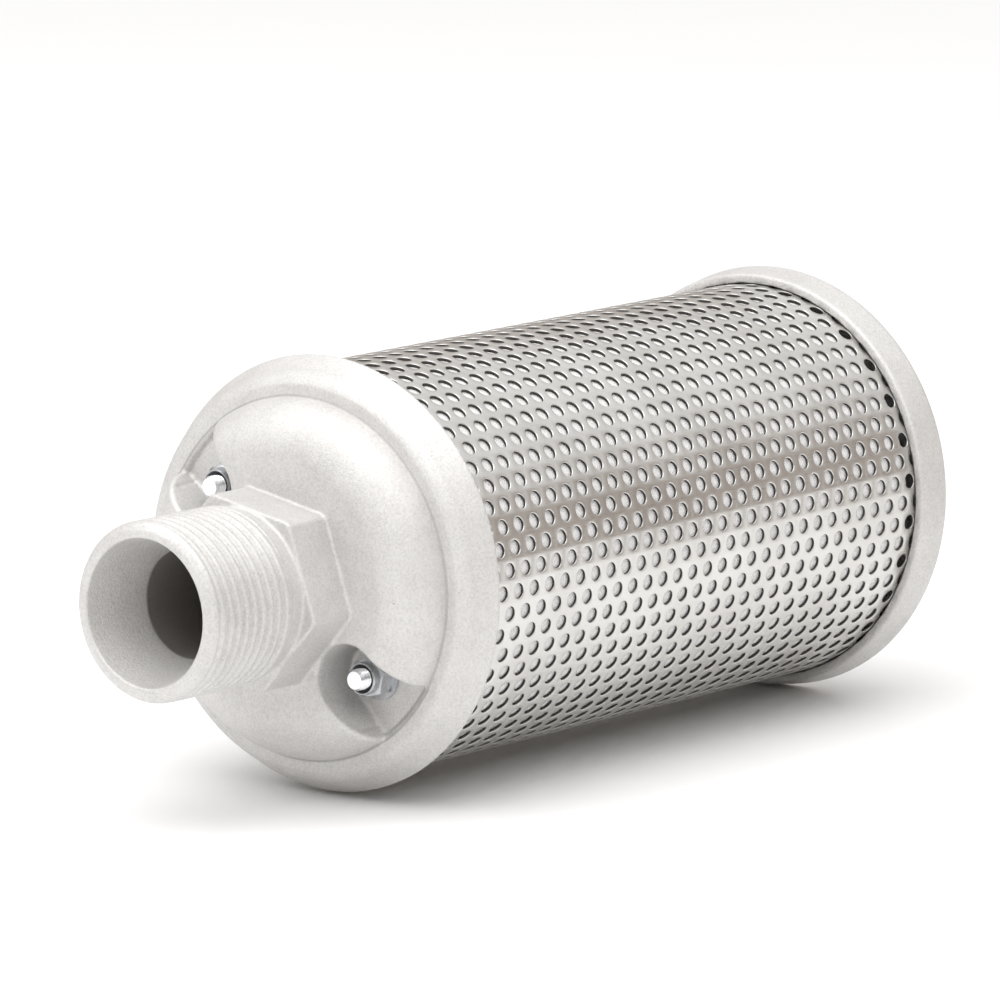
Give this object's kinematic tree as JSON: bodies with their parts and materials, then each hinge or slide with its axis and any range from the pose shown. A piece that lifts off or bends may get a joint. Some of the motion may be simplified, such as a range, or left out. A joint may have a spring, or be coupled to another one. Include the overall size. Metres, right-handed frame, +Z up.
{
  "type": "pneumatic muffler",
  "caption": "Exhaust muffler for compressed air: a cast inlet with an outside pipe thread and hexagon, a perforated cylindrical shell round felt, and a cast end cap, held by two tie rods.",
  "frame": {"origin": "on the muffler's axis at the middle of the inlet thread", "axes": "+X along the muffler's axis from the inlet thread to the end cap, +Z up"},
  "size_m": [0.1995, 0.0822, 0.0822],
  "materials": {
    "cast_aluminium": "bead-blasted casting",
    "perforated_steel": "satin",
    "core_steel": "satin",
    "screen_wire": "woven wire",
    "felt": "pressed wool felt",
    "zinc_steel": "bright zinc plate",
    "nylon": "matt"
  },
  "bodies": {
    "root": {"core_screen": "screen_wire", "end_cap": "cast_aluminium", "felt_inner": "felt", "felt_middle": "felt", "felt_outer": "felt", "front_nut_a": "zinc_steel", "front_nut_b": "zinc_steel", "front_nut_ring_a": "nylon", "front_nut_ring_b": "nylon", "front_washer_a": "zinc_steel", "front_washer_b": "zinc_steel", "inlet_head": "cast_aluminium", "inner_core": "core_steel", "outer_shell": "perforated_steel", "rear_nut_a": "zinc_steel", "rear_nut_b": "zinc_steel", "rear_nut_ring_a": "nylon", "rear_nut_ring_b": "nylon", "rear_washer_a": "zinc_steel", "rear_washer_b": "zinc_steel", "tie_rod_a": "zinc_steel", "tie_rod_b": "zinc_steel"}
  },
  "joints": []
}
